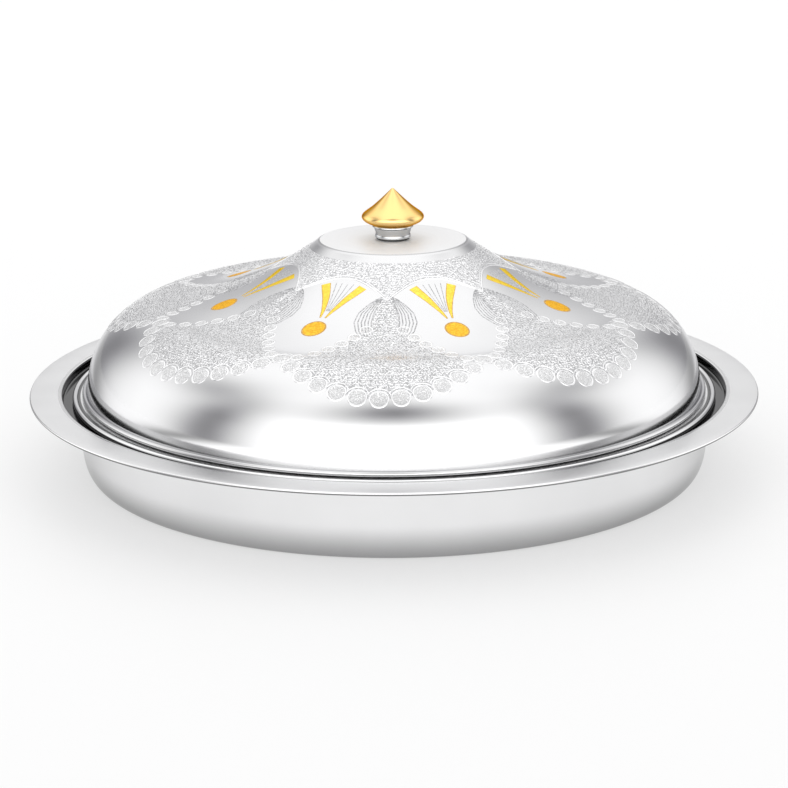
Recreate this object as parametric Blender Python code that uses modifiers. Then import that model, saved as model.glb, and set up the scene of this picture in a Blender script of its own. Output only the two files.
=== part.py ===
"""Round chafing dish: a water dish with a wide flange, a food pan that hangs
in it, and a domed lid with a turned knob. Metres, +Z up, the underside of the
dish centred on the origin."""

import math

import bmesh
import bpy
from mathutils import Matrix

# Driving dimensions
FLANGE_R = 0.225            # outer radius of the dish's flange, the widest part
FLANGE_Z = 0.0505           # top of the flange, the seat level of the whole set
SHEET = 0.0008              # thickness of the pressed steel
GAP = 0.0003                # space kept between pieces that touch
STEPS = 56                  # facets round a turned shell
SMALL_STEPS = 24            # facets round the knob's pieces

# Water dish
HEM_T = 0.0018              # thickness of the flange's folded edge
HEM_W = 0.006               # how far the fold reaches in from the edge
RECESS_R = 0.205            # inner radius of the stepped seat under the flange
LEDGE_DROP = 0.0054         # ledge below the flange top
DISH_WALL_R = 0.1934        # inside radius of the dish's wall
DISH_CORNER = (0.0088, 0.0207)   # width and height of the lower corner
DISH_CORNER_POWER = 2.4

# Food pan
BEAD_R = 0.1972             # radius to the middle of the pan's rolled rim
BEAD_WIRE = 0.0018          # radius of the rolled rim itself
SHELF_DROP = 0.0022         # lid seat below the flange top
PAN_WALL_R = 0.1872         # inside radius of the pan's wall
PAN_FLOOR_Z = 0.0100        # inside floor of the pan
PAN_CORNER = (0.016, 0.020)
PAN_CORNER_POWER = 2.2

# Lid
LID_R = 0.1898              # outside radius at the lid's mouth
LIP_R = 0.1914              # radius to the middle of the rolled lip
LIP_WIRE = 0.0015
LIP_DROP = 0.0003           # middle of the lip below the flange top
PLATEAU_R = 0.0456          # flat top that carries the knob
PLATEAU_RISE = 0.0900       # plateau above the flange top
SHOULDER_R = 0.1405         # where the neck's sweep meets the shoulder
SHOULDER_RISE = 0.0515

# Knob and its fixing
SCREW_R = 0.0025
BORE_R = 0.0028
SEAL_T = 0.0006
NECK_H = 0.0079
KNOB_H = 0.0221
WASHER_T = 0.0010
SPRING_T = 0.0012
HEAD_T = 0.0028
SCREW_REACH = 0.0200        # shank above the plateau

COLLECTION = "chafing_dish"


def clear_scene():
    for thing in list(bpy.data.objects):
        bpy.data.objects.remove(thing, do_unlink=True)


def collection(name):
    made = bpy.data.collections.new(name)
    bpy.context.scene.collection.children.link(made)
    return made


def material(name, colour, roughness, metallic):
    made = bpy.data.materials.new(name)
    made.use_nodes = True
    shader = made.node_tree.nodes["Principled BSDF"]
    shader.inputs["Base Color"].default_value = (*colour, 1.0)
    shader.inputs["Roughness"].default_value = roughness
    shader.inputs["Metallic"].default_value = metallic
    return made


# Outlines, as lists of (radius, height)

def arc(centre, radius, start, end, count):
    """Points of a circular arc, angles in degrees from +radius."""
    angles = [math.radians(start + (end - start) * i / count) for i in range(count + 1)]
    return [(centre[0] + radius * math.cos(a), centre[1] + radius * math.sin(a))
            for a in angles]


def corner(wall_r, floor_z, size, power, count):
    """A squarish corner from a flat floor out and up to an upright wall."""
    width, height = size
    points = []
    for i in range(count + 1):
        a = math.pi / 2 * (1 - i / count)
        points.append((wall_r - width + width * math.cos(a) ** (2 / power),
                       floor_z + height - height * math.sin(a) ** (2 / power)))
    return points


def bezier(p0, p1, p2, p3, count):
    points = []
    for i in range(count + 1):
        t = i / count
        weights = ((1 - t) ** 3, 3 * t * (1 - t) ** 2, 3 * t * t * (1 - t), t ** 3)
        points.append(tuple(sum(w * p[k] for w, p in zip(weights, (p0, p1, p2, p3)))
                            for k in (0, 1)))
    return points


def offset(points, distance):
    """The same line moved sideways to its right, with mitred corners."""
    moved = []
    for i, (r, z) in enumerate(points):
        normals = []
        for a, b in ((i - 1, i), (i, i + 1)):
            if a >= 0 and b < len(points):
                dr = points[b][0] - points[a][0]
                dz = points[b][1] - points[a][1]
                length = math.hypot(dr, dz)
                normals.append((dz / length, -dr / length))
        nr = sum(n[0] for n in normals) / len(normals)
        nz = sum(n[1] for n in normals) / len(normals)
        mitre = distance / (nr * nr + nz * nz)
        moved.append((r + nr * mitre, z + nz * mitre))
    return moved


def turned(name, outline, parent, finish, height=0.0, steps=STEPS, ring=False):
    """A turned solid. The outline runs from the axis over the top and down the
    outer side back to the axis, or once round a section when ring is set."""
    points = [(max(r, 0.0), z) for r, z in outline]
    edges = [(i, i + 1) for i in range(len(points) - 1)]
    if ring:
        edges.append((len(points) - 1, 0))
    mesh = bpy.data.meshes.new(name)
    mesh.from_pydata([(r, 0.0, z) for r, z in points], edges, [])
    piece = bpy.data.objects.new(name, mesh)
    parent[0].objects.link(piece)
    piece.parent = parent[1]
    piece.location.z = height
    screw = piece.modifiers.new("turn", "SCREW")
    screw.steps = steps
    screw.render_steps = steps
    screw.use_merge_vertices = True
    screw.merge_threshold = 0.00001
    screw.use_smooth_shade = True
    mesh.materials.append(finish)
    return piece


def cutter(name, shape, place, group):
    """A plain solid that a Boolean takes away; never part of the object."""
    mesh = bpy.data.meshes.new(name)
    bm = bmesh.new()
    if shape[0] == "box":
        size = Matrix.Diagonal((*shape[1], 1.0))
        bmesh.ops.create_cube(bm, size=1.0, matrix=size)
    else:
        radius, depth, sides = shape[1]
        bmesh.ops.create_cone(bm, cap_ends=True, segments=sides, radius1=radius,
                              radius2=radius, depth=depth)
    bm.to_mesh(mesh)
    bm.free()
    tool = bpy.data.objects.new(name, mesh)
    group.objects.link(tool)
    tool.matrix_world = place
    tool.hide_render = True
    tool.display_type = "WIRE"
    return tool


def cut(piece, tool):
    boolean = piece.modifiers.new(tool.name, "BOOLEAN")
    boolean.operation = "DIFFERENCE"
    boolean.solver = "EXACT"
    boolean.object = tool


# Pieces

def base_dish(parent, steel):
    """Pressed dish: flat bottom, upright wall, ledge, recess and hemmed flange."""
    inner = [(0.0, SHEET)]
    inner += corner(DISH_WALL_R, SHEET, DISH_CORNER, DISH_CORNER_POWER, 6)
    ledge = FLANGE_Z - LEDGE_DROP
    inner += arc((DISH_WALL_R + 0.0010, ledge - 0.0010), 0.0010, 180, 90, 2)
    inner += arc((RECESS_R - 0.0012, ledge + 0.0012), 0.0012, -90, 0, 2)
    inner += arc((RECESS_R + 0.0014, FLANGE_Z - 0.0014), 0.0014, 180, 90, 3)
    inner.append((FLANGE_R - HEM_W, FLANGE_Z))
    outer = offset(inner, SHEET)
    outer[0] = (0.0, 0.0)
    outer[1] = (outer[1][0], 0.0)
    outer[-1] = (FLANGE_R - HEM_W, FLANGE_Z - SHEET)
    edge = arc((FLANGE_R - HEM_T / 2, FLANGE_Z - HEM_T / 2), HEM_T / 2, 90, -90, 4)
    fold = [(FLANGE_R - HEM_W, FLANGE_Z - HEM_T)]
    return turned("base_dish", inner + edge + fold + outer[::-1], parent, steel)


def food_pan(parent, steel):
    """Pan with a rolled rim that hangs on the ledge and a shelf for the lid."""
    shelf = FLANGE_Z - SHELF_DROP
    inner = [(0.0, PAN_FLOOR_Z)]
    inner += corner(PAN_WALL_R, PAN_FLOOR_Z, PAN_CORNER, PAN_CORNER_POWER, 6)
    inner += arc((PAN_WALL_R + 0.0016, shelf - 0.0016), 0.0016, 180, 90, 3)
    outer = offset(inner, SHEET)
    outer[0] = (0.0, PAN_FLOOR_Z - SHEET)
    outer[1] = (outer[1][0], PAN_FLOOR_Z - SHEET)
    middle = (BEAD_R, FLANGE_Z - LEDGE_DROP + GAP + BEAD_WIRE)
    rim = arc(middle, BEAD_WIRE, 150, -165, 9)
    return turned("food_pan", inner + rim + outer[::-1], parent, steel)


def lid_outline():
    """Outside of the dome from the plateau's edge to the mouth, heights counted
    from the flange top: a swept neck, then a full shoulder."""
    sweep = bezier((PLATEAU_R, PLATEAU_RISE), (0.0684, 0.0713), (0.1112, 0.0533),
                   (SHOULDER_R, SHOULDER_RISE), 8)
    shoulder = bezier((SHOULDER_R, SHOULDER_RISE), (0.1691, 0.0498),
                      (LID_R, 0.0285), (LID_R, 0.0), 9)
    return sweep + shoulder[1:]


def lid_shell(parent, steel):
    """Dome of one sheet with its mouth rolled outwards into a lip."""
    dome = lid_outline()
    inside = offset(dome, SHEET)
    inside[0] = (PLATEAU_R - 0.0002, PLATEAU_RISE - SHEET)
    lip = arc((LIP_R, -LIP_DROP), LIP_WIRE, 150, -150, 8)
    inside[-1] = (LID_R - SHEET, -LIP_DROP - 0.0009)
    hole = [(BORE_R, PLATEAU_RISE - SHEET), (BORE_R, PLATEAU_RISE)]
    outline = hole + dome[:-1] + lip + inside[::-1]
    return turned("lid_shell", outline, parent, steel, FLANGE_Z, ring=True)


def ring_section(inner_r, outer_r, low, high):
    return [(inner_r, low), (inner_r, high), (outer_r, high), (outer_r, low)]


def neck_outline(bottom):
    """Spool between lid and knob: foot, waist and a cup that flares outwards."""
    top = bottom + NECK_H
    section = [(BORE_R, bottom), (BORE_R, top), (0.0126, top), (0.0126, top - 0.0011)]
    section += bezier((0.0113, top - 0.0019), (0.0110, top - 0.0034),
                      (0.0105, bottom + 0.0030), (0.0104, bottom + 0.0022), 4)
    section += [(0.0109, bottom + 0.0014), (0.0109, bottom)]
    return section


def knob_outline(bottom):
    """Pointed cap: dished underside, full rim low down and sides that hollow
    slightly towards the tip. A blind hole in the underside takes the screw."""
    tip = bottom + KNOB_H
    sides = [(0.0, tip)]
    sides += bezier((0.0009, tip - 0.0003), (0.0030, tip - 0.0024),
                    (0.0072, tip - 0.0068), (0.0125, tip - 0.0112), 5)
    sides += bezier((0.0125, tip - 0.0112), (0.0168, tip - 0.0145),
                    (0.0191, tip - 0.0155), (0.0191, tip - 0.0176), 4)[1:]
    sides += bezier((0.0191, tip - 0.0176), (0.0190, tip - 0.0197),
                    (0.0150, bottom), (0.0120, bottom), 4)[1:]
    depth = SCREW_REACH + PLATEAU_RISE + 0.0008
    return sides + [(BORE_R, bottom), (BORE_R, depth), (0.0, depth)]


def knob_set(parent, tools, finishes):
    """Everything on the lid's axis, heights counted from the flange top."""
    steel, gold, fibre, zinc = finishes
    seal_low = PLATEAU_RISE + GAP
    neck_low = seal_low + SEAL_T + GAP
    knob_low = neck_low + NECK_H + GAP
    washer_high = PLATEAU_RISE - SHEET - GAP
    spring_high = washer_high - WASHER_T - GAP
    head_high = spring_high - SPRING_T - GAP
    head_low = head_high - HEAD_T
    shank_top = PLATEAU_RISE + SCREW_REACH

    turned("neck_seal", ring_section(BORE_R, 0.0100, seal_low, seal_low + SEAL_T),
           parent, fibre, FLANGE_Z, SMALL_STEPS, ring=True)
    turned("knob_neck", neck_outline(neck_low), parent, steel, FLANGE_Z, SMALL_STEPS,
           ring=True)
    turned("knob", knob_outline(knob_low), parent, gold, FLANGE_Z, SMALL_STEPS)
    turned("lid_washer", ring_section(BORE_R, 0.0080, washer_high - WASHER_T, washer_high),
           parent, zinc, FLANGE_Z, SMALL_STEPS, ring=True)
    spring = turned("spring_washer",
                    ring_section(BORE_R, 0.0046, spring_high - SPRING_T, spring_high),
                    parent, zinc, FLANGE_Z, SMALL_STEPS, ring=True)
    split_place = (Matrix.Translation((0.0040, 0.0, FLANGE_Z + spring_high - SPRING_T / 2))
                   @ Matrix.Rotation(math.radians(25), 4, "X"))
    cut(spring, cutter("split_cutter", ("box", (0.0050, 0.0007, 0.0060)), split_place, tools))

    screw_outline = [(0.0, shank_top), (SCREW_R - 0.0006, shank_top),
                     (SCREW_R, shank_top - 0.0006), (SCREW_R, head_high)]
    screw_outline += [(0.0045, head_high)]
    screw_outline += arc((0.0035, head_low + 0.0010), 0.0010, 0, -90, 3)
    screw_outline.append((0.0, head_low))
    screw = turned("knob_screw", screw_outline, parent, zinc, FLANGE_Z, SMALL_STEPS)
    socket_depth = 0.0018
    socket_place = Matrix.Translation((0.0, 0.0, FLANGE_Z + head_low + socket_depth / 2 - 0.0005))
    cut(screw, cutter("socket_cutter", ("prism", (0.0023, socket_depth + 0.0010, 6)),
                      socket_place, tools))


def axis_empty(name, group, height, above=None):
    """Parent of the pieces that lift together, on the axis they slide along."""
    empty = bpy.data.objects.new(name, None)
    group.objects.link(empty)
    empty.empty_display_size = 0.03
    empty.location.z = height
    empty.parent = above
    return empty


def main():
    clear_scene()
    group = collection(COLLECTION)
    tools = collection("cutters")
    steel = material("polished_steel", (0.78, 0.78, 0.79), 0.16, 1.0)
    pressed = material("pressed_steel", (0.74, 0.74, 0.75), 0.22, 1.0)
    gold = material("gold_plate", (0.90, 0.68, 0.33), 0.14, 1.0)
    fibre = material("fibre", (0.10, 0.09, 0.09), 0.80, 0.0)
    zinc = material("plain_steel", (0.60, 0.60, 0.61), 0.35, 1.0)

    pan_lift = axis_empty("food_pan_lift", group, 0.0)
    lid_lift = axis_empty("lid_lift", group, 0.0, pan_lift)
    base_dish((group, None), pressed)
    food_pan((group, pan_lift), pressed)
    lid_shell((group, lid_lift), steel)
    knob_set((group, lid_lift), tools, (steel, gold, fibre, zinc))


main()
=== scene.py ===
"""Looks of the round chafing dish: polished steel dish and pan, an etched and
part gilded dome lid, and its gold knob, in a white studio. Metres, +Z up."""

import math

import bpy
import numpy as np
from mathutils import Matrix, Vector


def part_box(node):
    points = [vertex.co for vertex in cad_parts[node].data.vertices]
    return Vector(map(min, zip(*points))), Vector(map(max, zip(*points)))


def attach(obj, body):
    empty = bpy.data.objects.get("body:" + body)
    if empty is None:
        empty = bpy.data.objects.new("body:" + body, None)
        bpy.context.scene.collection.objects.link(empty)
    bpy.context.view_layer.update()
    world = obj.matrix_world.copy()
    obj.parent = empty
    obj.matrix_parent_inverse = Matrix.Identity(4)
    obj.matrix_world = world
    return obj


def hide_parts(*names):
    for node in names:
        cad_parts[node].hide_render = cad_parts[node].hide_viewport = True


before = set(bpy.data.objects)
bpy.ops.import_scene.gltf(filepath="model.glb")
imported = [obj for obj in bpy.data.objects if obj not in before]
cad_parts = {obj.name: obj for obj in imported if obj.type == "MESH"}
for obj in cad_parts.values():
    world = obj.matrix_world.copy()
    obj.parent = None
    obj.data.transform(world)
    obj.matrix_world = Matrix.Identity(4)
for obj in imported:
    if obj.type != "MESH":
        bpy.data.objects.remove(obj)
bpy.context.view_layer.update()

# ------------------------------------------------------------------ sizes
MM = 0.001
FLANGE_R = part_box("base_dish")[1].x
FLANGE_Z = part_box("base_dish")[1].z
SHEET = 0.0008
SHELL_STEPS = 384
SMALL_STEPS = 96

# Water dish
HEM_T = 0.0018
HEM_W = 0.006
RECESS_R = 0.205
LEDGE_DROP = 0.0054
DISH_WALL_R = 0.1934
DISH_CORNER = (0.0088, 0.0207)
DISH_CORNER_POWER = 2.4

# Food pan
BEAD_R = 0.1972
BEAD_WIRE = 0.0018
SHELF_DROP = 0.0022
PAN_WALL_R = 0.1872
PAN_FLOOR_Z = 0.0100
PAN_CORNER = (0.016, 0.020)
PAN_CORNER_POWER = 2.2
SEAT_GAP = 0.0003

# Lid
LID_R = 0.1898
LIP_R = 0.1914
LIP_WIRE = 0.0015
LIP_DROP = 0.0003
PLATEAU_R = 0.0456
PLATEAU_RISE = 0.0900
PLATEAU_EDGE = 0.0007       # softening of the plateau's crisp edge
SHOULDER = (0.1405, 0.0515)

# Knob, and the screw that holds it
NECK_H = 0.0079
KNOB_H = 0.0221
KNOB_WIDEST = 0.0191
KNOB_HOLE_TOP = 0.0208      # above the lid's flat top
BORE_R = 0.0028
SEAL_R = 0.0100
WASHER_R = 0.0080
SPRING_R = 0.0046
SPRING_GAP = 0.0007
SPRING_SLANT = 25.0         # degrees
SCREW_R = 0.0025
SCREW_POINT = 0.0006
THREAD_PITCH = 0.0008
THREAD_DEPTH = 0.0003
SHANK = 0.0066              # plain length between head and thread
HEAD_R = 0.0045
HEAD_H = 0.0028
SOCKET_R = 0.0024
SOCKET_DEPTH = 0.0018

# Ornament, in degrees round the lid and millimetres along its surface
SECTOR = 45.0
LOBE_PHASE = -2.7           # azimuth of the front lobe, from -Y towards +X
LOBES = 8
GROUND_LIFT = 0.025         # matt grounds over the polished dome
DISC_DOWN = 116.3           # middle of the gilded discs
DISC_STRETCH = 1.2          # of the gilded discs, down the lid
CIRCLE_STRETCH = 1.06       # of the small circles, down the lid

# Light. A grey of LID_SHINE that mirrors a softbox comes out as white.
LID_SHINE = 0.68
SOFTBOX = 1.02 / LID_SHINE
FRONT_BOOST = 0.60
FLOOR_GLOW = 0.53

# Finish of the dish and the pan, with painted shade in their gaps and hollows,
# as rings round the axis: inner and outer distance, tone, roughness
DISH_ZONES = [
    (0.1950, 0.2054, 0.14, 0.08),     # ledge: painted shade, as it lies in the shade of the pan's rim
    (0.2058, 0.2072, 0.84, 0.26),     # rounded rise to the flange
    (0.2076, 0.2242, 0.94, 0.34),     # flange
    (0.2246, 0.2300, 1.00, 0.14),     # outer edge
]
PAN_ZONES = [
    (0.1876, 0.1936, 0.95, 0.35),     # shelf under the lid
    (0.1940, 0.1956, 0.16, 0.10),     # groove between lip and bead: painted shade between the parts
    (0.1984, 0.1996, 0.42, 0.10),     # outer side of the bead: painted shade in the gap to the dish
]
ZONE_EDGE = 0.0004
# Painted shade under the flange's folded edge
FOLD_PAINTED_SHADE = 0.30
# Painted shade on the dish's wall towards the ground
FOOT_PAINTED_SHADE = 0.50


# ------------------------------------------------------------------ outlines
def arc(centre, radius, start, end, count):
    """Points on an arc, from start to end in degrees."""
    angles = np.radians(np.linspace(start, end, count + 1))
    return [(centre[0] + radius * math.cos(a), centre[1] + radius * math.sin(a))
            for a in angles]


def corner(wall_r, floor_z, size, power, count):
    """Quarter of a superellipse, from the flat floor out and up into the wall."""
    width, height = size
    points = []
    for a in np.linspace(math.pi / 2, 0.0, count + 1):
        points.append((wall_r - width + width * max(math.cos(a), 0.0) ** (2 / power),
                       floor_z + height - height * math.sin(a) ** (2 / power)))
    return points


def bezier(p0, p1, p2, p3, count):
    """Points on a cubic curve from p0 to p3."""
    t = np.linspace(0.0, 1.0, count + 1)[:, None]
    curve = ((1 - t) ** 3 * np.array(p0) + 3 * t * (1 - t) ** 2 * np.array(p1)
             + 3 * t ** 2 * (1 - t) * np.array(p2) + t ** 3 * np.array(p3))
    return [tuple(p) for p in curve]


def offset(points, distance):
    """The same line moved sideways to its right, with mitred corners."""
    line = np.array(points)
    step = np.diff(line, axis=0)
    step /= np.linalg.norm(step, axis=1)[:, None]
    side = np.stack([step[:, 1], -step[:, 0]], axis=1)
    normal = np.vstack([side[:1], (side[:-1] + side[1:]) / 2, side[-1:]])
    mitre = distance / (normal ** 2).sum(axis=1)
    return [tuple(p) for p in line + normal * mitre[:, None]]


def dome_line(count):
    """Outside of the dome from the plateau's edge to its mouth, heights from
    the flange top: a swept neck, then a full shoulder."""
    sweep = bezier((PLATEAU_R, PLATEAU_RISE), (0.0684, 0.0713), (0.1112, 0.0533),
                   SHOULDER, count // 2)
    shoulder = bezier(SHOULDER, (0.1691, 0.0498), (LID_R, 0.0285), (LID_R, 0.0),
                      count // 2)
    return sweep + shoulder[1:]


# ------------------------------------------------------------------ meshes
def new_mesh(name, points, faces, smooth_angle=None):
    """Smooth mesh, with crisp edges where faces meet at more than smooth_angle."""
    mesh = bpy.data.meshes.new(name)
    mesh.from_pydata([tuple(p) for p in points], [], faces)
    mesh.update()
    mesh.shade_smooth()
    if smooth_angle:
        mesh.set_sharp_from_angle(angle=math.radians(smooth_angle))
    return mesh


def place(name, mesh, body, finish, replaces=()):
    """Adds a piece that rides with a body, in place of the CAD nodes named."""
    piece = bpy.data.objects.new(name, mesh)
    bpy.context.scene.collection.objects.link(piece)
    mesh.materials.append(finish)
    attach(piece, body)
    if replaces:
        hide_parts(*replaces)


def turned_mesh(name, outline, steps, ring=False, smooth_angle=32, hexagon=()):
    """A turned solid. The outline runs from the axis over the top and down the
    outer side back to the axis, or once round a section when ring is set. The
    outline points numbered in hexagon make six-sided rows of that radius."""
    turn = np.linspace(0.0, 2 * math.pi, steps, endpoint=False)
    sixth = math.pi / 3
    hexagonal = math.cos(sixth / 2) / np.cos(turn % sixth - sixth / 2)
    points = []
    rows = []
    for k, (r, z) in enumerate(outline):
        if r < 1e-7:
            rows.append([len(points)] * steps)
            points.append((0.0, 0.0, z))
        else:
            rows.append(list(range(len(points), len(points) + steps)))
            reach = r * hexagonal if k in hexagon else np.full(steps, r)
            points += [(a * math.sin(t), -a * math.cos(t), z) for a, t in zip(reach, turn)]
    if ring:
        rows.append(rows[0])
    faces = []
    for upper, lower in zip(rows[:-1], rows[1:]):
        for i in range(steps):
            j = (i + 1) % steps
            face = [upper[i], lower[i], lower[j], upper[j]]
            face = [v for k, v in enumerate(face) if v not in face[:k]]
            faces.append(face)
    return new_mesh(name, points, faces, smooth_angle)


# ------------------------------------------------------------------ node helpers
class Nodes:
    """Short hand for building a node tree."""

    def __init__(self, tree):
        self.tree = tree

    def add(self, kind, inputs=(), **settings):
        """New node; its inputs go by name or number."""
        node = self.tree.nodes.new(kind)
        for key, value in settings.items():
            setattr(node, key, value)
        for key, value in dict(inputs).items():
            self.feed(value, node.inputs[key])
        return node

    def feed(self, value, socket):
        """Links an output to the socket, or sets a plain value on it."""
        if isinstance(value, bpy.types.NodeSocket):
            self.tree.links.new(value, socket)
        else:
            socket.default_value = value

    def math(self, operation, a, b=0.0):
        return self.add("ShaderNodeMath", {0: a, 1: b}, operation=operation).outputs[0]

    def smooth(self, value, low, high):
        """0 at low, 1 at high, eased."""
        node = self.add("ShaderNodeMapRange", {"Value": value, "From Min": low, "From Max": high},
                        interpolation_type="SMOOTHSTEP")
        return node.outputs["Result"]

    def falling(self, value, low, high):
        """1 at low, 0 at high, eased."""
        return self.math("SUBTRACT", 1.0, self.smooth(value, low, high))

    def bell(self, value, centre, width):
        """1 at centre, falling as a bell of the given width."""
        away = self.math("DIVIDE", self.math("SUBTRACT", value, centre), width)
        return self.math("EXPONENT", self.math("MULTIPLY", self.math("MULTIPLY", away, away), -1.0))

    def less(self, depth, across, upright):
        """1 outside the two masks, 1 - depth where both are 1."""
        product = self.math("MULTIPLY", self.math("MULTIPLY", depth, across), upright)
        return self.math("SUBTRACT", 1.0, product)

    def blend(self, factor, a, b):
        """The number a where factor is 0, b where it is 1."""
        node = self.add("ShaderNodeMix", data_type="FLOAT")
        self.feed(factor, node.inputs["Factor"])
        self.feed(a, node.inputs["A"])
        self.feed(b, node.inputs["B"])
        return node.outputs["Result"]

    def seen_directly(self):
        """1 to the eye itself, 0 to reflections and to the light on the metal."""
        return self.add("ShaderNodeLightPath").outputs["Is Camera Ray"]

    def radius(self, xyz):
        """Distance from the axis."""
        return self.math("SQRT", self.math("ADD", self.math("MULTIPLY", xyz[0], xyz[0]),
                                           self.math("MULTIPLY", xyz[1], xyz[1])))

    def mix(self, factor, a, b):
        """The colour a where factor is 0, b where it is 1."""
        node = self.add("ShaderNodeMix", data_type="RGBA")
        self.feed(factor, node.inputs["Factor"])
        self.feed(a, node.inputs[6])
        self.feed(b, node.inputs[7])
        return node.outputs[2]


def material(name, colour, roughness, metallic=1.0, edge=(1.0, 1.0, 1.0)):
    """Plain metal or paint. edge tints what is seen at a grazing angle."""
    made = bpy.data.materials.new(name)
    made.use_nodes = True
    shader = made.node_tree.nodes["Principled BSDF"]
    shader.inputs["Base Color"].default_value = (*colour, 1.0)
    shader.inputs["Roughness"].default_value = roughness
    shader.inputs["Metallic"].default_value = metallic
    shader.inputs["Specular Tint"].default_value = (*edge, 1.0)
    return made, shader, Nodes(made.node_tree)


def polished(name, colour, roughness, spread=0.04, lines=0.02, zones=(),
             edge=(0.52, 0.52, 0.53), fold=None, foot=None):
    """Polished metal: cloudy roughness, faint turning lines round the axis and
    a little variation in tone. Each zone (inner, outer, tone, roughness) changes
    the finish between two distances from the axis; a zone's tone is the metal's
    own tone in some zones and painted shade in others, as marked where the zones
    are listed. With zones, painted shade darkens the metal beyond and below fold
    (distance from the axis, height), and painted shade darkens it from the
    height foot down to the ground."""
    made, shader, n = material(name, colour, roughness, 1.0, edge)
    spot = n.add("ShaderNodeTexCoord").outputs["Object"]
    cloud = n.add("ShaderNodeTexNoise", {"Vector": spot, "Scale": 38.0, "Detail": 4.0})
    xyz = n.add("ShaderNodeSeparateXYZ", {0: spot}).outputs
    radius = n.radius(xyz)
    across = n.add("ShaderNodeCombineXYZ", {0: radius, 1: xyz[2]}).outputs[0]
    turning = n.add("ShaderNodeTexNoise", {"Vector": across, "Scale": 420.0, "Detail": 2.0})
    base = roughness
    tone = 1.0
    # Zone tone: the metal's own tone, or painted shade where a zone is marked so
    for inner, outer, zone_tone_and_shade, zone_roughness in zones:
        zone = n.math("MULTIPLY", n.smooth(radius, inner, inner + ZONE_EDGE),
                      n.falling(radius, outer, outer + ZONE_EDGE))
        base = n.blend(zone, base, zone_roughness)
        tone = n.blend(zone, tone, zone_tone_and_shade)
    cloudy = n.math("MULTIPLY", n.math("SUBTRACT", cloud.outputs[0], 0.5), spread * 2)
    lined = n.math("MULTIPLY", n.math("SUBTRACT", turning.outputs[0], 0.5), spread)
    rough = n.math("ADD", cloudy, n.math("ADD", lined, base))
    # painted shade under the folded edge
    if fold:
        below = n.falling(xyz[2], fold[1] - 0.0003, fold[1])
        beyond = n.smooth(radius, fold[0], fold[0] + ZONE_EDGE)
        tone = n.blend(n.math("MULTIPLY", below, beyond), tone, FOLD_PAINTED_SHADE)
    # painted shade, darker towards the ground
    if foot:
        tone = n.math("MULTIPLY", tone, n.blend(n.smooth(xyz[2], 0.0, foot), FOOT_PAINTED_SHADE, 1.0))
    n.feed(rough, shader.inputs["Roughness"])
    dark = tuple(c * 0.94 for c in colour)
    metal = n.mix(cloud.outputs[0], (*dark, 1.0), (*colour, 1.0))
    if zones:
        grey = n.add("ShaderNodeCombineXYZ", {0: tone, 1: tone, 2: tone}).outputs[0]
        metal = n.add("ShaderNodeVectorMath", {0: metal, 1: grey}, operation="MULTIPLY").outputs[0]
    n.feed(metal, shader.inputs["Base Color"])
    bump = n.add("ShaderNodeBump", {"Strength": lines, "Distance": 0.0002,
                                    "Height": turning.outputs[0]})
    n.feed(bump.outputs[0], shader.inputs["Normal"])
    return made


def brushed(name, roughness):
    """Satin finish: fine rings round the axis in tone, roughness and relief."""
    made, shader, n = material(name, (0.68, 0.68, 0.685), roughness, 0.35)
    spot = n.add("ShaderNodeTexCoord").outputs["Object"]
    xyz = n.add("ShaderNodeSeparateXYZ", {0: spot}).outputs
    across = n.add("ShaderNodeCombineXYZ", {0: n.radius(xyz), 1: xyz[2]}).outputs[0]
    rings = n.add("ShaderNodeTexNoise", {"Vector": across, "Scale": 1400.0, "Detail": 3.0})
    tone = n.mix(rings.outputs[0], (0.68, 0.68, 0.685, 1.0), (0.76, 0.76, 0.765, 1.0))
    n.feed(tone, shader.inputs["Base Color"])
    n.feed(n.blend(rings.outputs[0], roughness - 0.1, roughness + 0.1), shader.inputs["Roughness"])
    bump = n.add("ShaderNodeBump", {"Strength": 0.1, "Distance": 0.0001,
                                    "Height": rings.outputs[0]})
    n.feed(bump.outputs[0], shader.inputs["Normal"])
    return made


def etched(name, colour, roughness, grain=700.0, deep=0.55, relief=0.5, edge=(1.0, 1.0, 1.0)):
    """Metal eaten by acid: matt, mottled, with fine dark winding grooves."""
    made, shader, n = material(name, colour, roughness, 1.0, edge)
    spot = n.add("ShaderNodeTexCoord").outputs["Object"]
    noise = n.add("ShaderNodeTexNoise", {"Vector": spot, "Scale": grain, "Detail": 2.0})
    ridge = n.math("ABSOLUTE", n.math("SUBTRACT", noise.outputs[0], 0.5))
    groove = n.smooth(ridge, 0.02, 0.09)
    dark = tuple(c * deep for c in colour)
    n.feed(n.mix(groove, (*dark, 1.0), (*colour, 1.0)), shader.inputs["Base Color"])
    n.feed(n.blend(groove, roughness + 0.15, roughness), shader.inputs["Roughness"])
    bump = n.add("ShaderNodeBump", {"Strength": relief, "Distance": 0.0002, "Height": groove})
    n.feed(bump.outputs[0], shader.inputs["Normal"])
    return made


def rubber(name):
    """Black rubber with a dusty bloom and a fine grain."""
    made, shader, n = material(name, (0.03, 0.03, 0.03), 0.62, 0.0)
    spot = n.add("ShaderNodeTexCoord").outputs["Object"]
    bloom = n.add("ShaderNodeTexNoise", {"Vector": spot, "Scale": 160.0, "Detail": 4.0})
    grain = n.add("ShaderNodeTexNoise", {"Vector": spot, "Scale": 2500.0, "Detail": 2.0})
    tone = n.mix(bloom.outputs[0], (0.02, 0.02, 0.02, 1.0), (0.055, 0.055, 0.055, 1.0))
    n.feed(tone, shader.inputs["Base Color"])
    n.feed(n.blend(bloom.outputs[0], 0.5, 0.75), shader.inputs["Roughness"])
    bump = n.add("ShaderNodeBump", {"Strength": 0.3, "Distance": 0.0001,
                                    "Height": grain.outputs[0]})
    n.feed(bump.outputs[0], shader.inputs["Normal"])
    return made


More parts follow.
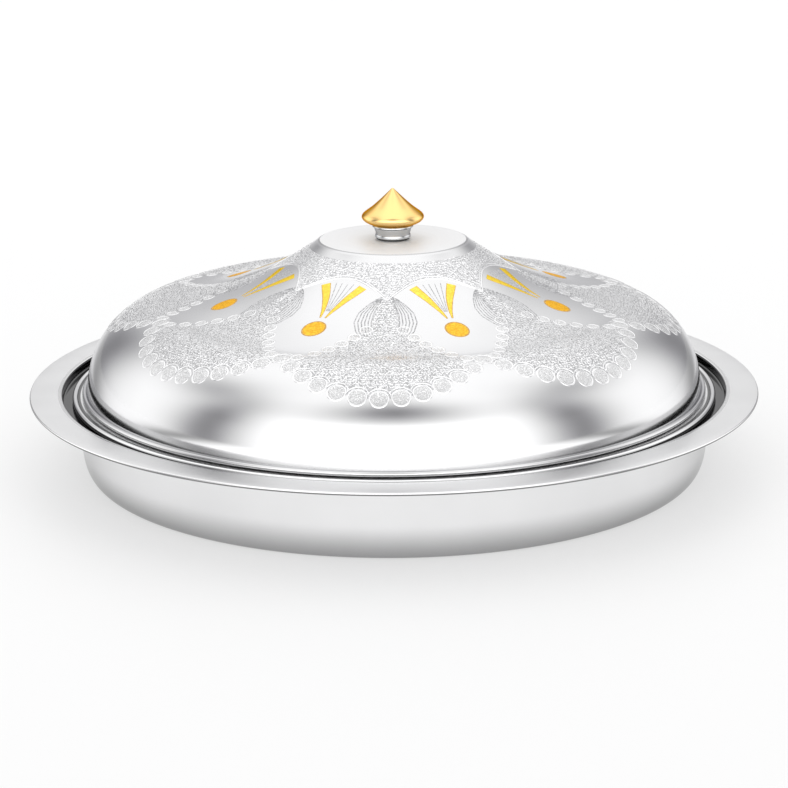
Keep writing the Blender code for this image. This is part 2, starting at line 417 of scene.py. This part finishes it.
# ------------------------------------------------------------------ studio
def studio_light(n, x, y, height):
    """Brightness of the studio towards x, y at a height in degrees: a strong
    softbox in front, more at the sides and overhead, and dim gaps between."""
    azimuth = n.math("ARCTAN2", x, n.math("MULTIPLY", y, -1.0))
    away = n.math("ABSOLUTE", n.math("MULTIPLY", azimuth, 180.0 / math.pi))
    front = n.math("MULTIPLY", n.bell(away, 0.0, 42.0), n.falling(height, 30.0, 48.0))
    lit = n.math("ADD", 1.0, n.math("MULTIPLY", front, FRONT_BOOST))
    gaps = [
        # beside the front softbox, over it, in the rear corners, low at the
        # back, and over the side softboxes
        (0.75, n.bell(away, 72.0, 16.0), n.falling(height, 24.0, 64.0)),
        (0.74, n.bell(away, 0.0, 33.0), n.bell(height, 57.0, 15.0)),
        (0.74, n.bell(away, 149.0, 19.0), n.falling(height, 10.0, 52.0)),
        (0.45, n.bell(away, 180.0, 15.0), n.falling(height, 14.0, 27.0)),
        (0.50, n.bell(away, 98.0, 29.0), n.bell(height, 48.0, 14.0)),
    ]
    for depth, across, upright in gaps:
        lit = n.math("MULTIPLY", lit, n.less(depth, across, upright))
    return n.math("MULTIPLY", lit, SOFTBOX)


def studio():
    """Surroundings: plain white to look at, softboxes to whatever mirrors them.
    The gaps are a little bluer than the softboxes."""
    world = bpy.data.worlds.new("studio")
    bpy.context.scene.world = world
    world.use_nodes = True
    n = Nodes(world.node_tree)
    direction = n.add("ShaderNodeTexCoord").outputs["Generated"]
    xyz = n.add("ShaderNodeSeparateXYZ", {0: direction}).outputs
    height = n.math("MULTIPLY", n.math("ARCSINE", xyz[2]), 180.0 / math.pi)
    lit = studio_light(n, xyz[0], xyz[1], height)
    lit = n.blend(n.seen_directly(), lit, 1.0)
    background = world.node_tree.nodes["Background"]
    n.feed(n.mix(n.smooth(lit, 0.3, 1.1), (0.97, 0.965, 1.0, 1.0), (1.0, 1.0, 1.0, 1.0)),
           background.inputs["Color"])
    n.feed(lit, background.inputs["Strength"])


def floor():
    """White floor, plain and evenly lit to look at. What the metal mirrors of it
    is even round the dish and in a strip that widens to the back, and shows the
    softboxes and their gaps further out."""
    made, shader, n = material("studio_floor", (0.44, 0.44, 0.44), 0.6, 0.0)
    spot = n.add("ShaderNodeTexCoord").outputs["Object"]
    xyz = n.add("ShaderNodeSeparateXYZ", {0: spot}).outputs
    side = n.math("ABSOLUTE", xyz[0])
    near = n.falling(n.radius(xyz), 0.34, 0.46)
    strip_half = n.math("ADD", n.math("MULTIPLY", n.math("MAXIMUM", xyz[1], -0.5), 0.17), 0.27)
    strip = n.falling(n.math("SUBTRACT", side, strip_half), 0.0, 0.12)
    strip = n.math("MULTIPLY", strip, n.smooth(xyz[1], -0.8, -0.5))
    even = n.math("MAXIMUM", n.math("MAXIMUM", near, strip), n.seen_directly())
    beside = n.math("MAXIMUM", n.math("SUBTRACT", side, 0.24), 0.0)
    outer = n.math("MULTIPLY", studio_light(n, beside, xyz[1], 0.0), 0.85)
    n.feed(n.mix(even, (0.04, 0.04, 0.04, 1.0), (0.32, 0.32, 0.32, 1.0)),
           shader.inputs["Base Color"])
    shader.inputs["Emission Color"].default_value = (1.0, 1.0, 1.0, 1.0)
    n.feed(n.blend(even, outer, FLOOR_GLOW), shader.inputs["Emission Strength"])
    reach = 14.0
    mesh = new_mesh("studio_floor", [(-reach, -reach, 0), (reach, -reach, 0),
                                     (reach, reach, 0), (-reach, reach, 0)], [(0, 1, 2, 3)])
    mesh.materials.append(made)
    sheet = bpy.data.objects.new("studio_floor", mesh)
    bpy.context.scene.collection.objects.link(sheet)


def camera():
    """Stands in front and looks 15.9 degrees down at the dish, with a long lens."""
    data = bpy.data.cameras.new("camera")
    data.lens = 105.98
    data.sensor_width = 36.0
    data.clip_end = 60.0
    body = bpy.data.objects.new("camera", data)
    bpy.context.scene.collection.objects.link(body)
    back = 6.2 * FLANGE_R
    up = FLANGE_Z + 1.72336 * FLANGE_R
    pitch = 0.27718
    roll = -0.00683
    body.matrix_world = (Matrix.Translation((0.0, -back, up))
                         @ Matrix.Rotation(math.pi / 2 - pitch, 4, "X")
                         @ Matrix.Rotation(roll, 4, "Z"))
    bpy.context.scene.camera = body


# ------------------------------------------------------------------ dish and pan
def water_dish():
    """Outer dish: floor, wall, ledge for the pan, flange and its folded edge."""
    inner = [(0.0, SHEET)]
    inner += corner(DISH_WALL_R, SHEET, DISH_CORNER, DISH_CORNER_POWER, 22)
    ledge = FLANGE_Z - LEDGE_DROP
    inner += arc((DISH_WALL_R + 0.0010, ledge - 0.0010), 0.0010, 180, 90, 6)
    inner += arc((RECESS_R - 0.0012, ledge + 0.0012), 0.0012, -90, 0, 6)
    inner += arc((RECESS_R + 0.0014, FLANGE_Z - 0.0014), 0.0014, 180, 90, 8)
    inner.append((FLANGE_R - HEM_W, FLANGE_Z))
    outer = offset(inner, SHEET)
    outer[0] = (0.0, 0.0)
    outer[1] = (outer[1][0], 0.0)
    outer[-1] = (FLANGE_R - HEM_W + 0.0004, FLANGE_Z - SHEET)
    edge = arc((FLANGE_R - HEM_T / 2, FLANGE_Z - HEM_T / 2), HEM_T / 2, 90, -90, 10)
    fold = arc((FLANGE_R - HEM_W, FLANGE_Z - HEM_T + 0.0004), 0.0004, -90, -200, 4)
    mesh = turned_mesh("water_dish", inner + edge + fold + outer[::-1], SHELL_STEPS)
    # Polished steel with painted shade on the ledge, under the folded edge and down towards the
    # ground
    place("water_dish", mesh, "dish",
          polished("dish_polish_and_shade", (0.84, 0.84, 0.845), 0.16, zones=DISH_ZONES,
                   edge=(0.78, 0.78, 0.78), fold=(0.2185, FLANGE_Z - 0.0005), foot=0.022),
          ["base_dish"])


def serving_pan():
    """Food pan: floor, wall, shelf under the lid and rolled rim."""
    shelf = FLANGE_Z - SHELF_DROP
    inner = [(0.0, PAN_FLOOR_Z)]
    inner += corner(PAN_WALL_R, PAN_FLOOR_Z, PAN_CORNER, PAN_CORNER_POWER, 22)
    inner += arc((PAN_WALL_R + 0.0016, shelf - 0.0016), 0.0016, 180, 90, 8)
    outer = offset(inner, SHEET)
    outer[0] = (0.0, PAN_FLOOR_Z - SHEET)
    outer[1] = (outer[1][0], PAN_FLOOR_Z - SHEET)
    middle = (BEAD_R, FLANGE_Z - LEDGE_DROP + SEAT_GAP + BEAD_WIRE)
    rim = arc(middle, BEAD_WIRE, 150, -165, 24)
    mesh = turned_mesh("serving_pan", inner + rim + outer[::-1], SHELL_STEPS)
    # Polished steel with painted shade in the groove between lip and bead and on the bead's outer
    # side
    place("serving_pan", mesh, "pan",
          polished("pan_polish_and_shade", (0.86, 0.86, 0.865), 0.07, zones=PAN_ZONES,
                   edge=(0.8, 0.8, 0.8)),
          ["food_pan"])


# ------------------------------------------------------------------ dome
class Dome:
    """The dome's outer surface, addressed by distance down from its axis."""

    def __init__(self):
        line = [(0.0, PLATEAU_RISE)] + dome_line(2000)
        self.line = np.array(line) / MM
        step = np.linalg.norm(np.diff(self.line, axis=0), axis=1)
        self.down = np.concatenate([[0.0], np.cumsum(step)])
        tangent = np.gradient(self.line, axis=0)
        tangent /= np.linalg.norm(tangent, axis=1)[:, None]
        self.normal = np.stack([-tangent[:, 1], tangent[:, 0]], axis=1)

    def radius(self, down):
        """Distance from the axis, in millimetres."""
        return np.interp(down, self.down, self.line[:, 0])

    def points(self, down, azimuth, lift):
        """World points, from millimetres down the surface, radians and lift."""
        r = np.interp(down, self.down, self.line[:, 0])
        z = np.interp(down, self.down, self.line[:, 1])
        nr = np.interp(down, self.down, self.normal[:, 0])
        nz = np.interp(down, self.down, self.normal[:, 1])
        r = r + nr * lift
        z = z + nz * lift
        return np.stack([r * np.sin(azimuth) * MM, -r * np.cos(azimuth) * MM,
                         z * MM + FLANGE_Z], axis=-1)


DOME = Dome()


def grid_faces(count, rows, columns, closed=False):
    """Quads of count separate grids of rows by columns points."""
    c = np.arange(columns if closed else columns - 1)
    r = np.arange(rows - 1)
    base = (np.arange(count) * rows * columns)[:, None, None]
    a = base + r[None, :, None] * columns + c[None, None, :]
    b = base + r[None, :, None] * columns + (c[None, None, :] + 1) % columns
    quads = np.stack([a, b, b + columns, a + columns], axis=-1)
    return quads.reshape(-1, 4)


def relief_mesh(name, points, faces):
    """Mesh of raised ornament, its faces turned away from the lid."""
    points = np.asarray(points).reshape(-1, 3)
    sample = points[faces[:, :3]]
    across = np.cross(sample[:, 1] - sample[:, 0], sample[:, 2] - sample[:, 0])
    under_dome = np.array([0.0, 0.0, FLANGE_Z - 0.05])
    outward = sample[:, 0] - under_dome
    flip = (across * outward).sum(axis=1) < 0
    faces = faces.copy()
    faces[flip] = faces[flip][:, ::-1]
    return new_mesh(name, points.tolist(), faces.tolist(), 40)


def ridges(down, azimuth, width, height):
    """Ridges along lines given as arrays (line, point) of distance down and
    azimuth. Width may vary along a line. The foot is sunk a little into the
    lid. Returns points and faces."""
    down = np.asarray(down, float)
    azimuth = np.asarray(azimuth, float)
    radius = DOME.radius(down)
    along_x = np.gradient(azimuth, axis=1) * radius
    along_y = np.gradient(down, axis=1)
    length = np.hypot(along_x, along_y) + 1e-9
    side_x = -along_y / length
    side_y = along_x / length
    width = np.broadcast_to(np.asarray(width, float), down.shape)
    height = np.broadcast_to(np.asarray(height, float), down.shape)
    rows = []
    for share, rise in ((-0.5, -0.03), (-0.30, 1.0), (0.30, 1.0), (0.5, -0.03)):
        lift = np.where(rise > 0, height, rise)
        rows.append(DOME.points(down + side_y * width * share,
                                azimuth + side_x * width * share / radius, lift))
    points = np.stack(rows, axis=2)
    return points.reshape(-1, 3), grid_faces(*points.shape[:3])


def turned_reliefs(down, azimuth, profile, steps, stretch=1.0):
    """Small turned ornaments: profile is (radius, height) from the middle out."""
    profile = np.array(profile)
    turn = np.linspace(0, 2 * math.pi, steps, endpoint=False)
    x = profile[:, 0][None, :, None] * np.cos(turn)[None, None, :]
    y = profile[:, 0][None, :, None] * np.sin(turn)[None, None, :] * stretch
    d = np.asarray(down, float)[:, None, None] + y
    a = np.asarray(azimuth, float)[:, None, None] + x / DOME.radius(d)
    lift = np.broadcast_to(profile[:, 1][None, :, None], d.shape)
    points = DOME.points(d, a, lift)
    return points.reshape(-1, 3), grid_faces(len(down), len(profile), steps, closed=True)


def every_lobe(down, turn):
    """Copies lines given against a lobe's middle (degrees), and their mirror
    images, round the lid."""
    down = np.atleast_2d(np.asarray(down, float))
    turn = np.atleast_2d(np.asarray(turn, float))
    down = np.vstack([down, down])
    turn = np.vstack([turn, -turn])
    middles = [LOBE_PHASE + SECTOR * k for k in range(LOBES)]
    return np.vstack([down] * LOBES), np.radians(np.vstack([turn + middle for middle in middles]))


def join(*parts):
    """One set of points and faces from several."""
    points = []
    faces = []
    total = 0
    for part_points, part_faces in parts:
        points.append(part_points)
        faces.append(part_faces + total)
        total += len(part_points)
    return np.vstack(points), np.vstack(faces)


# Outlines of the ornament's fields, as distance down against degrees from a lobe
def arch_down(turn):
    """Lower edge of the collar: an arch over each gilded motif."""
    from_motif = np.abs(SECTOR / 2 - np.abs(turn))
    return 66.3 + 18.0 * (from_motif / (SECTOR / 2)) ** 2.2


def hem_down(turn):
    """Row of large medallions along each lobe's lower edge."""
    return 186.6 - 0.0585 * np.abs(turn) ** 2


# The chain: degrees from the lobe's middle against distance down
CHAIN_TURN = (5.9, 8.8, 11.5, 14.4, 17.2, 20.0, 22.5)
CHAIN_DOWN = (113.6, 122.6, 130.8, 139.8, 148.8, 155.6, 158.4)


def chain_down(turn):
    """Row of small circles from a drop's foot out to the lobe's end."""
    return np.interp(np.abs(turn), CHAIN_TURN, CHAIN_DOWN)


# The drop: distance down against half width
DROP_DOWN = (79.0, 83.4, 89.0, 97.0, 106.0, 115.4, 121.0, 126.0)
DROP_HALF = (0.0, 6.2, 11.2, 16.2, 18.3, 16.9, 14.3, 9.0)


def drop_half(down):
    """Half width in millimetres of the onion-shaped drop."""
    return np.interp(down, DROP_DOWN, DROP_HALF)


def evenly(turns, downs, pitch):
    """Points a pitch apart along a line on the dome, from its start."""
    x = np.radians(np.gradient(turns)) * DOME.radius(downs)
    travelled = np.cumsum(np.hypot(x, np.gradient(downs)))
    travelled -= travelled[0]
    count = int(round(travelled[-1] / pitch))
    stops = np.linspace(0, travelled[-1], count + 1)
    return np.interp(stops, travelled, turns), np.interp(stops, travelled, downs)


def lid_dome(finish, satin):
    """The dome, its rolled lip and its flat satin top with the screw's hole."""
    dome = dome_line(150)
    soft = arc((PLATEAU_R - PLATEAU_EDGE, PLATEAU_RISE - PLATEAU_EDGE * 0.5),
               PLATEAU_EDGE * 0.5, 90, 50, 3)
    inside = offset(dome_line(60), SHEET)
    inside[0] = (PLATEAU_R - 0.0002, PLATEAU_RISE - SHEET)
    inside[-1] = (LID_R - SHEET, -LIP_DROP - 0.0009)
    lip = arc((LIP_R, -LIP_DROP), LIP_WIRE, 150, -150, 22)
    hole = [(BORE_R, PLATEAU_RISE - SHEET), (BORE_R, PLATEAU_RISE)]
    outline = hole + soft + dome[1:-4] + lip + inside[::-1]
    outline = [(r, z + FLANGE_Z) for r, z in outline]
    mesh = turned_mesh("lid_dome", outline, SHELL_STEPS, ring=True, smooth_angle=24)
    place("lid_dome", mesh, "lid", finish, ["lid_shell"])
    mesh.materials.append(satin)
    top = FLANGE_Z + PLATEAU_RISE
    for face in mesh.polygons:
        middle = face.center
        if (middle.z > top - 0.0001
                and math.hypot(middle.x, middle.y) < PLATEAU_R - PLATEAU_EDGE):
            face.material_index = 1


def in_every_lobe(turn, down):
    """Spots given for half a lobe, repeated on both sides of every lobe, as
    distance down and azimuth. A spot on a line of symmetry comes only once."""
    downs = []
    turns = []
    for k in range(LOBES):
        for t, d in zip(turn, down):
            alone = t < 0.01 or t > SECTOR / 2 - 0.01
            for sign in ((1,) if alone else (1, -1)):
                downs.append(d)
                turns.append(math.radians(LOBE_PHASE + SECTOR * k + sign * t))
    return np.array(downs), np.array(turns)


def hem_stops():
    """Middles of the large medallions."""
    turns = np.linspace(0, SECTOR / 2, 200)
    return in_every_lobe(*evenly(turns, hem_down(turns), 12.2))


def chain_stops():
    """Middles of the small circles. The last one would lie on the hem."""
    turns = np.linspace(CHAIN_TURN[0], SECTOR / 2, 200)
    turn, down = evenly(turns, chain_down(turns), 9.4)
    return in_every_lobe(turn[:-1], down[:-1])


def medallions(finish, ground):
    """Large and small round medallions: rippled matt discs in polished rings,
    each section as (distance from the middle, height), and a bow over each large one."""
    down, turn = hem_stops()
    disc = [(0.0, 0.20), (0.5, 0.18), (0.95, 0.04), (1.5, 0.20), (2.1, 0.04), (2.7, 0.20),
            (3.2, 0.04), (3.8, 0.19), (4.3, 0.04), (4.75, 0.03)]
    small_disc = [(0.0, 0.14), (0.6, 0.12), (1.1, 0.05), (1.6, 0.12), (2.1, 0.05),
                  (2.6, 0.11), (3.2, 0.03)]
    ring = [(4.75, 0.03), (4.95, 0.16), (5.25, 0.20), (5.5, 0.15), (5.7, -0.04)]
    small_ring = [(3.1, 0.03), (3.35, 0.16), (3.6, 0.19), (3.85, 0.14), (4.1, -0.04)]
    small_down, small_turn = chain_stops()
    points, faces = join(turned_reliefs(down, turn, disc, 28),
                         turned_reliefs(small_down, small_turn, small_disc, 24,
                                        CIRCLE_STRETCH))
    place("lid_medallion_discs", relief_mesh("lid_medallion_discs", points, faces), "lid",
          ground)
    angle = np.radians(np.linspace(200, 340, 15))[None, :]
    bow_r = 7.0
    bows = ridges(down[:, None] + bow_r * np.sin(angle),
                  turn[:, None] + bow_r * np.cos(angle) / DOME.radius(down)[:, None], 0.7, 0.12)
    points, faces = join(turned_reliefs(down, turn, ring, 40), bows,
                         turned_reliefs(small_down, small_turn, small_ring, 28,
                                        CIRCLE_STRETCH))
    place("lid_medallion_rings", relief_mesh("lid_medallion_rings", points, faces), "lid",
          finish)


def field(turns, top, bottom, rows):
    """Thin sheet on the dome between two lines over the same azimuths."""
    share = np.linspace(0.0, 1.0, rows)[:, None]
    down = np.asarray(top)[None, :] * (1 - share) + np.asarray(bottom)[None, :] * share
    turn = np.broadcast_to(np.radians(turns)[None, :], down.shape)
    points = DOME.points(down, turn, GROUND_LIFT)
    return points.reshape(-1, 3), grid_faces(1, rows, len(turns))


def etched_fields(ground, pale):
    """Matt grounds of the collar, the lobes and the drops."""
    lobes = []
    collar = []
    turn = np.linspace(-SECTOR / 2, SECTOR / 2, 61)
    lobe_top = np.minimum(np.maximum(chain_down(turn) + 1.5, 119.0), hem_down(turn) - 0.5)
    drop = np.linspace(83.4, 119.2, 40)[:, None]
    across = np.linspace(-0.42, 0.42, 15)[None, :]
    drop_turn = np.degrees(drop_half(drop) / DOME.radius(drop)) * across
    for k in range(LOBES):
        middle = LOBE_PHASE + SECTOR * k
        collar.append(field(turn + middle, np.full(len(turn), 52.5), arch_down(turn) - 0.4, 12))
        lobes.append(field(turn + middle, lobe_top, hem_down(turn), 24))
        points = DOME.points(np.broadcast_to(drop, drop_turn.shape),
                             np.radians(middle + drop_turn), GROUND_LIFT)
        lobes.append((points.reshape(-1, 3), grid_faces(1, *drop_turn.shape)))
    points, faces = join(*lobes)
    place("lid_etched_lobes", relief_mesh("lid_etched_lobes", points, faces), "lid",
          ground)
    points, faces = join(*collar)
    place("lid_etched_collar", relief_mesh("lid_etched_collar", points, faces), "lid",
          pale)


def arches(finish):
    """A double line over each gilded motif."""
    turns = np.linspace(0.0, SECTOR / 2, 60)
    parts = []
    for shift, width in ((0.0, 1.1), (2.0, 0.7)):
        parts.append(ridges(*every_lobe(arch_down(turns) - shift, turns), width, 0.16))
    points, faces = join(*parts)
    place("lid_arches", relief_mesh("lid_arches", points, faces), "lid", finish)


def drops(finish):
    """Onion-shaped drops drawn by lines one inside another."""
    parts = []
    down = np.linspace(80.0, 121.0, 44)
    for share in (1.0, 0.885, 0.77, 0.66, 0.55, 0.45):
        line = 80.0 + (down - 80.0) * (0.9 + 0.1 * share)
        turn = np.degrees(drop_half(line) * share / DOME.radius(line))
        parts.append(ridges(*every_lobe(line, turn), 0.75, 0.12))
    points, faces = join(*parts)
    place("lid_drops", relief_mesh("lid_drops", points, faces), "lid", finish)


def gilding(gold, amber, edge, line_finish):
    """Gold disc under a V of two feathers, with fine lines between them. The
    spine is (distance to the side of the motif's middle, distance down)."""
    middle = SECTOR / 2
    spine = np.array([(1.6, 104.0), (2.9, 97.0), (4.6, 91.0), (6.6, 85.0), (8.8, 80.0),
                      (12.1, 73.2)])
    widths = 1.15 * np.array([0.3, 1.7, 2.9, 4.0, 4.8, 5.4])
    order = np.arange(len(spine))
    steps = np.linspace(0, len(spine) - 1, 40)
    aside = np.interp(steps, order, spine[:, 0])
    down = np.interp(steps, order, spine[:, 1])
    width = np.interp(steps, order, widths)
    feather = every_lobe(down, middle - np.degrees(aside / DOME.radius(down)))
    points, faces = ridges(*feather, width, 0.08)
    place("lid_gold_feathers", relief_mesh("lid_gold_feathers", points, faces), "lid",
          gold)
    feather_rim = ridges(*feather, width + 1.0, 0.035)

    disc_downs = [DISC_DOWN] * LOBES
    disc_turns = [math.radians(LOBE_PHASE + middle + SECTOR * k) for k in range(LOBES)]
    disc = [(0.0, 0.08), (2.0, 0.08), (4.2, 0.075), (5.6, 0.07), (6.2, 0.05), (6.4, 0.02)]
    points, faces = turned_reliefs(disc_downs, disc_turns, disc, 56, DISC_STRETCH)
    place("lid_gold_discs", relief_mesh("lid_gold_discs", points, faces), "lid",
          amber)
    band = [(6.1, 0.03), (6.4, 0.09), (6.9, 0.09), (7.2, -0.02)]
    disc_rim = turned_reliefs(disc_downs, disc_turns, band, 56, DISC_STRETCH)
    points, faces = join(feather_rim, disc_rim)
    place("lid_gold_edges", relief_mesh("lid_gold_edges", points, faces), "lid",
          edge)

    lines = []
    down = np.linspace(97.0, 71.0, 20)
    for top in (1.9, 5.6):
        aside = np.linspace(top * 0.16, top, 20)
        turn = middle - np.degrees(aside / DOME.radius(down))
        lines.append(ridges(*every_lobe(down, turn), 0.55, 0.06))
    points, faces = join(*lines)
    place("lid_fan_lines", relief_mesh("lid_fan_lines", points, faces), "lid",
          line_finish)


def in_texture(down, turn):
    """Whether a point lies in one of the fields covered by short raised curls."""
    turn = (turn + SECTOR / 2) % SECTOR - SECTOR / 2
    half = np.radians(np.abs(turn)) * DOME.radius(down)
    collar = (down > 53.0) & (down < arch_down(turn) - 2.6)
    drop = (half < drop_half(down) * 0.42) & (down < 122)
    lobe = (down > np.maximum(chain_down(turn) + 4.6, 116.0)) & (down < hem_down(turn) - 7.0)
    return collar | drop | lobe


def curls(finish):
    """Short curled strokes that fill the collar, the drops and the lobes."""
    rng = np.random.default_rng(7)
    downs = []
    turns = []
    pitch = 1.9
    for row, down in enumerate(np.arange(53.0, 184.0, pitch)):
        around = 2 * math.pi * DOME.radius(down)
        count = int(around / pitch)
        turn = (np.arange(count) + 0.5 * (row % 2)) * 360.0 / count
        turn += rng.uniform(-0.25, 0.25, count) * 360.0 / count
        d = down + rng.uniform(-0.4, 0.4, count)
        inside = in_texture(d, turn)
        downs.append(d[inside])
        turns.append(turn[inside])
    down = np.concatenate(downs)
    turn = np.radians(np.concatenate(turns) + LOBE_PHASE)
    count = len(down)
    heading = rng.uniform(0, 2 * math.pi, count)
    bend = rng.uniform(0.9, 2.2, count) * rng.choice([-1, 1], count)
    length = rng.uniform(1.5, 2.4, count)
    along = np.linspace(-0.5, 0.5, 5)
    angle = heading[:, None] + bend[:, None] * along[None, :]
    step = (length / (len(along) - 1))[:, None]
    x = np.cumsum(np.cos(angle) * step, axis=1)
    y = np.cumsum(np.sin(angle) * step, axis=1)
    x -= x.mean(axis=1, keepdims=True)
    y -= y.mean(axis=1, keepdims=True)
    line_down = down[:, None] + y
    line_turn = turn[:, None] + x / DOME.radius(line_down)
    from_middle = (np.degrees(turn) - LOBE_PHASE + SECTOR / 2) % SECTOR - SECTOR / 2
    on_collar = down < arch_down(from_middle)
    on_drop = ~on_collar & (down < 122.0) & (np.abs(from_middle) < 6.0)
    for name, chosen in (("lid_collar_curls", on_collar), ("lid_drop_curls", on_drop),
                         ("lid_lobe_curls", ~on_collar & ~on_drop)):
        points, faces = ridges(line_down[chosen], line_turn[chosen], 0.60, 0.13)
        place(name, relief_mesh(name, points, faces), "lid", finish)


# ------------------------------------------------------------------ knob
def neck_line(bottom):
    """Section of the spool: flat plate, swept waist and a small bead below."""
    top = bottom + NECK_H
    section = [(BORE_R, bottom), (BORE_R, top), (0.0122, top), (0.0126, top - 0.0004),
               (0.0126, top - 0.0011)]
    section += bezier((0.0115, top - 0.0018), (0.0111, top - 0.0034),
                      (0.0105, bottom + 0.0032), (0.0104, bottom + 0.0023), 12)
    section += arc((0.0104, bottom + 0.0018), 0.0004, 90, 20, 4)
    section += [(0.0109, bottom + 0.0013), (0.0109, bottom + 0.0003), (0.0106, bottom)]
    return section


def knob_line(bottom):
    """Half outline: point, swept top, full rim, underside and blind hole."""
    tip = bottom + KNOB_H
    sides = [(0.0, tip)]
    sides += bezier((0.0005, tip - 0.0001), (0.0030, tip - 0.0024),
                    (0.0072, tip - 0.0068), (0.0125, tip - 0.0112), 24)
    sides += bezier((0.0125, tip - 0.0112), (0.0168, tip - 0.0145),
                    (KNOB_WIDEST, tip - 0.0155), (KNOB_WIDEST, tip - 0.0176), 20)[1:]
    sides += bezier((KNOB_WIDEST, tip - 0.0176), (0.0190, tip - 0.0197),
                    (0.0150, bottom), (0.0120, bottom), 20)[1:]
    hole_top = FLANGE_Z + PLATEAU_RISE + KNOB_HOLE_TOP
    return sides + [(BORE_R, bottom), (BORE_R, hole_top), (0.0, hole_top)]


def heights(node):
    """Lowest and highest z of a CAD node."""
    low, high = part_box(node)
    return low.z, high.z


def knob_set(steel, gold):
    """Steel spool and the gold knob on it."""
    neck = turned_mesh("neck_spool", neck_line(heights("knob_neck")[0]), SMALL_STEPS, ring=True)
    place("neck_spool", neck, "lid", steel, ["knob_neck"])
    knob = turned_mesh("gold_knob", knob_line(heights("knob")[0]), SMALL_STEPS, smooth_angle=50)
    place("gold_knob", knob, "lid", gold, ["knob"])


def washer_line(outer, low, high, soft):
    """Section of a flat ring round the screw, with softened edges."""
    line = arc((outer - soft, high - soft), soft, 90, 0, 3)
    line += arc((outer - soft, low + soft), soft, 0, -90, 3)
    line += arc((BORE_R + soft, low + soft), soft, -90, -180, 3)
    return line + arc((BORE_R + soft, high - soft), soft, 180, 90, 3)


def split_ring_mesh(name, section, middle, gap, slant):
    """A ring cut through at +X by a slot whose two faces lean along the ring."""
    points = []
    for share in np.linspace(0.0, 1.0, SMALL_STEPS):
        for r, z in section:
            half = gap / 2 / r
            turn = half + share * (2 * math.pi - 2 * half) + slant * (z - middle) / r
            points.append((r * math.cos(turn), r * math.sin(turn), z))
    across = len(section)
    faces = []
    for k in range(SMALL_STEPS - 1):
        for i in range(across):
            j = (i + 1) % across
            here = k * across
            ahead = here + across
            faces.append((here + i, here + j, ahead + j, ahead + i))
    faces.append(tuple(range(across))[::-1])
    faces.append(tuple((SMALL_STEPS - 1) * across + i for i in range(across)))
    return new_mesh(name, points, faces, 40)


def screw_line(low, high):
    """Half outline of the screw: point, thread rings, head, and up into the
    socket, whose points are the three before the last."""
    head = low + HEAD_H
    socket = low + SOCKET_DEPTH
    line = [(0.0, high), (SCREW_R - SCREW_POINT, high), (SCREW_R, high - SCREW_POINT)]
    z = high - SCREW_POINT - THREAD_PITCH
    while z > head + SHANK:
        line += [(SCREW_R - THREAD_DEPTH, z + THREAD_PITCH / 2), (SCREW_R, z)]
        z -= THREAD_PITCH
    line += [(SCREW_R, head), (HEAD_R - 0.0001, head), (HEAD_R, head - 0.0001)]
    line += arc((HEAD_R - 0.0010, low + 0.0010), 0.0010, 0, -90, 6)
    return line + [(SOCKET_R, low), (SOCKET_R - 0.0001, low + 0.0001),
                   (SOCKET_R - 0.0001, socket), (0.0, socket)]


def fixing(seal_finish, zinc):
    """Seal above the lid; washer, split spring washer and screw below it."""
    seal = turned_mesh("seal_ring", washer_line(SEAL_R, *heights("neck_seal"), 0.0002),
                       SMALL_STEPS, ring=True)
    place("seal_ring", seal, "lid", seal_finish, ["neck_seal"])

    washer = turned_mesh("flat_washer", washer_line(WASHER_R, *heights("lid_washer"), 0.00025),
                         SMALL_STEPS, ring=True)
    place("flat_washer", washer, "lid", zinc, ["lid_washer"])

    low, high = heights("spring_washer")
    spring = split_ring_mesh("split_washer", washer_line(SPRING_R, low, high, 0.00015),
                             (low + high) / 2, SPRING_GAP,
                             -math.tan(math.radians(SPRING_SLANT)))
    place("split_washer", spring, "lid", zinc, ["spring_washer"])

    line = screw_line(*heights("knob_screw"))
    last = len(line)
    screw = turned_mesh("socket_screw", line, SMALL_STEPS, smooth_angle=35,
                        hexagon=(last - 4, last - 3, last - 2))
    place("socket_screw", screw, "lid", zinc, ["knob_screw"])


def main():
    """Builds the studio, then the dish from the outside in and the lid from the
    dome up."""
    bpy.context.scene.view_settings.view_transform = "Standard"
    camera()
    studio()
    floor()
    water_dish()
    serving_pan()
    # Painted shade: a darker line along the plateau's rounded edge
    plateau_edge_shade = [(0.0449, 0.0457, 0.66, 0.30)]
    lid_finish = polished("lid_polish_and_shade", (LID_SHINE, LID_SHINE, LID_SHINE + 0.005), 0.12,
                          zones=plateau_edge_shade, edge=(0.80, 0.80, 0.81))
    satin = brushed("lid_satin_top", 0.5)
    relief = polished("lid_relief", (0.82, 0.82, 0.825), 0.15, edge=(0.8, 0.8, 0.8))
    pale = etched("collar_ground", (0.74, 0.74, 0.75), 0.30, deep=0.66, relief=0.8)
    ground = etched("etched_ground", (0.66, 0.66, 0.67), 0.28, deep=0.62, relief=0.9)
    pressed = etched("medallion_ground", (0.82, 0.82, 0.825), 0.26, 1300.0, 0.74, 0.9)
    scored = etched("scored_line", (0.58, 0.58, 0.59), 0.36)
    gold = polished("gold_polish", (0.98, 0.68, 0.28), 0.12, edge=(0.62, 0.30, 0.06))
    leaf = etched("gold_leaf", (0.95, 0.72, 0.12), 0.32, 500.0, 0.90, edge=(0.6, 0.42, 0.2))
    amber = etched("amber_gold", (0.98, 0.57, 0.07), 0.34, 500.0, 0.78, edge=(0.8, 0.6, 0.4))
    edge = etched("gold_edge", (0.60, 0.36, 0.10), 0.35, 500.0, 0.85)
    neck = polished("neck_polish", (0.60, 0.61, 0.62), 0.14)
    lid_dome(lid_finish, satin)
    etched_fields(ground, pale)
    medallions(relief, pressed)
    arches(relief)
    drops(scored)
    gilding(leaf, amber, edge, scored)
    curls(relief)
    knob_set(neck, gold)
    zinc = polished("zinc_plate", (0.62, 0.64, 0.67), 0.34, 0.12, 0.05)
    fixing(rubber("seal_rubber"), zinc)


main()
